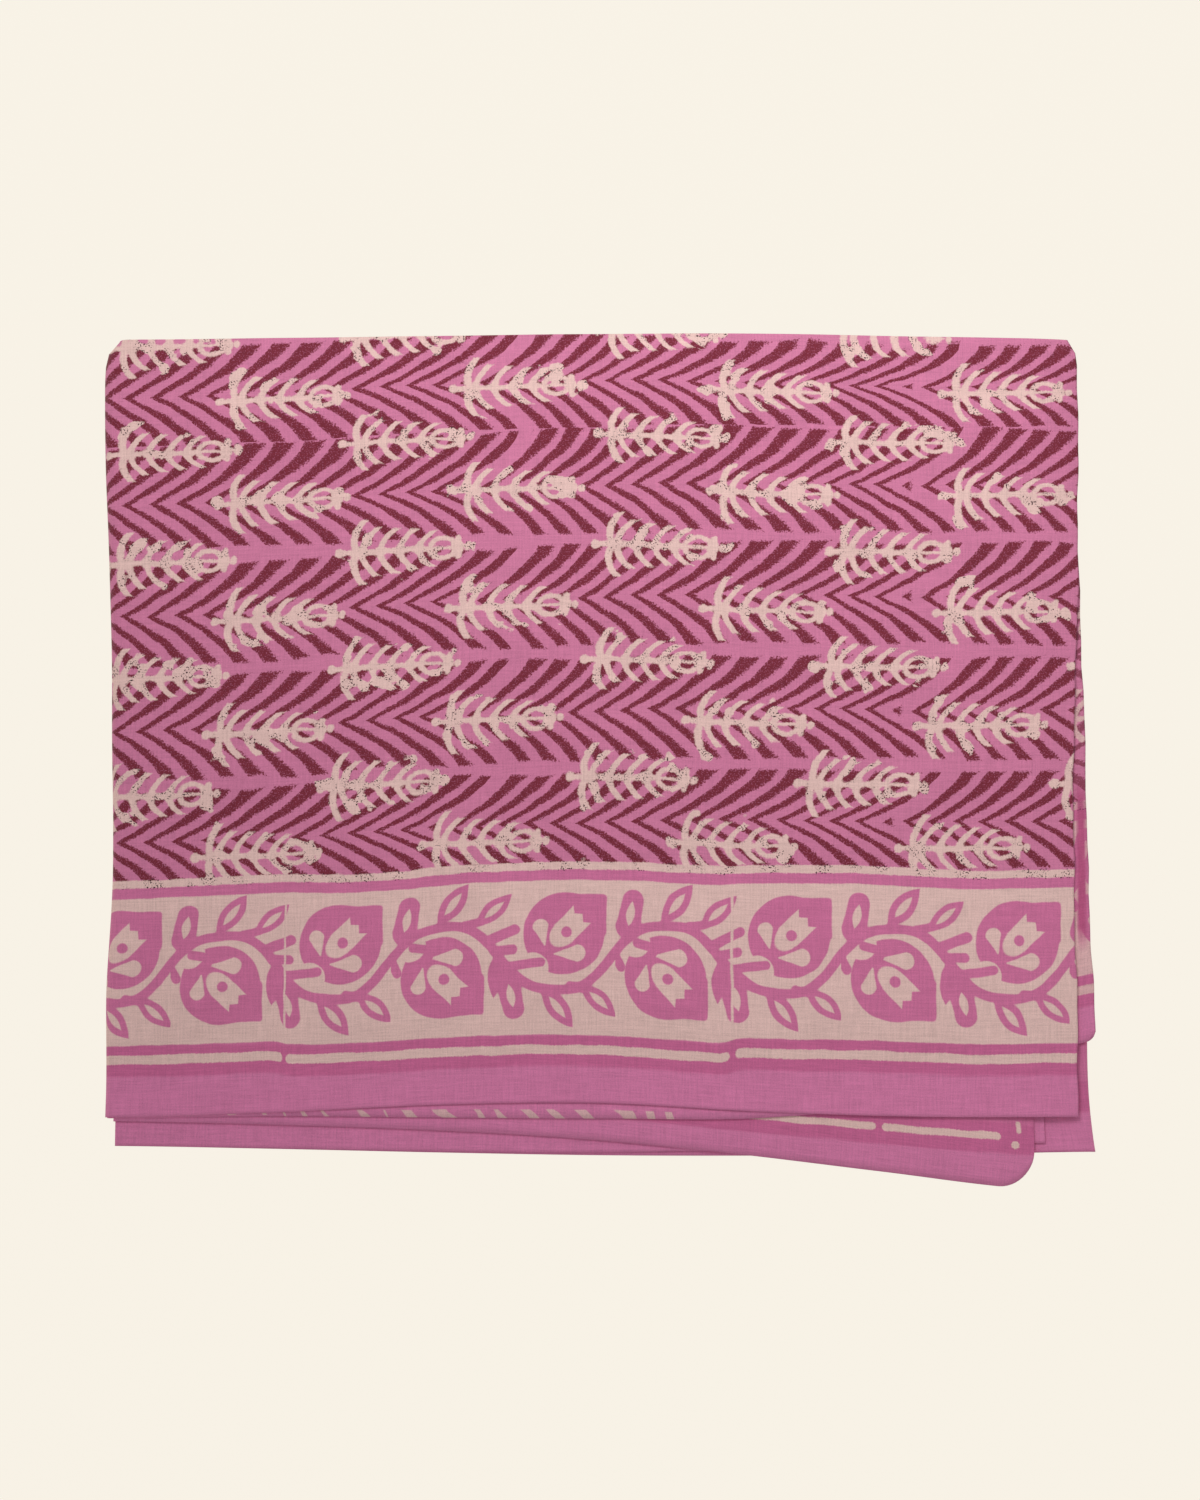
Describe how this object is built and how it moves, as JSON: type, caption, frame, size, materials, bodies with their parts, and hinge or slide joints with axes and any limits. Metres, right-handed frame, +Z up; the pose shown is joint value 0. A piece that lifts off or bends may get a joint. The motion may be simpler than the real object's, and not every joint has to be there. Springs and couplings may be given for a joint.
{
  "type": "folded printed dress fabric",
  "caption": "Dress length of resist-printed cotton with chevrons, ferns and a vine border, folded flat for a shelf.",
  "frame": {"origin": "on the resting face, under the middle of the folded stack", "axes": "+X along the panels towards the free ends, +Y from the selvedges towards the lengthwise fold, +Z up"},
  "size_m": [0.5829, 0.502, 0.0153],
  "materials": {
    "printed_cotton": "matt plain-weave cotton, pink ground with maroon and cream print"
  },
  "bodies": {
    "root": {"cloth": "printed_cotton"}
  },
  "joints": []
}
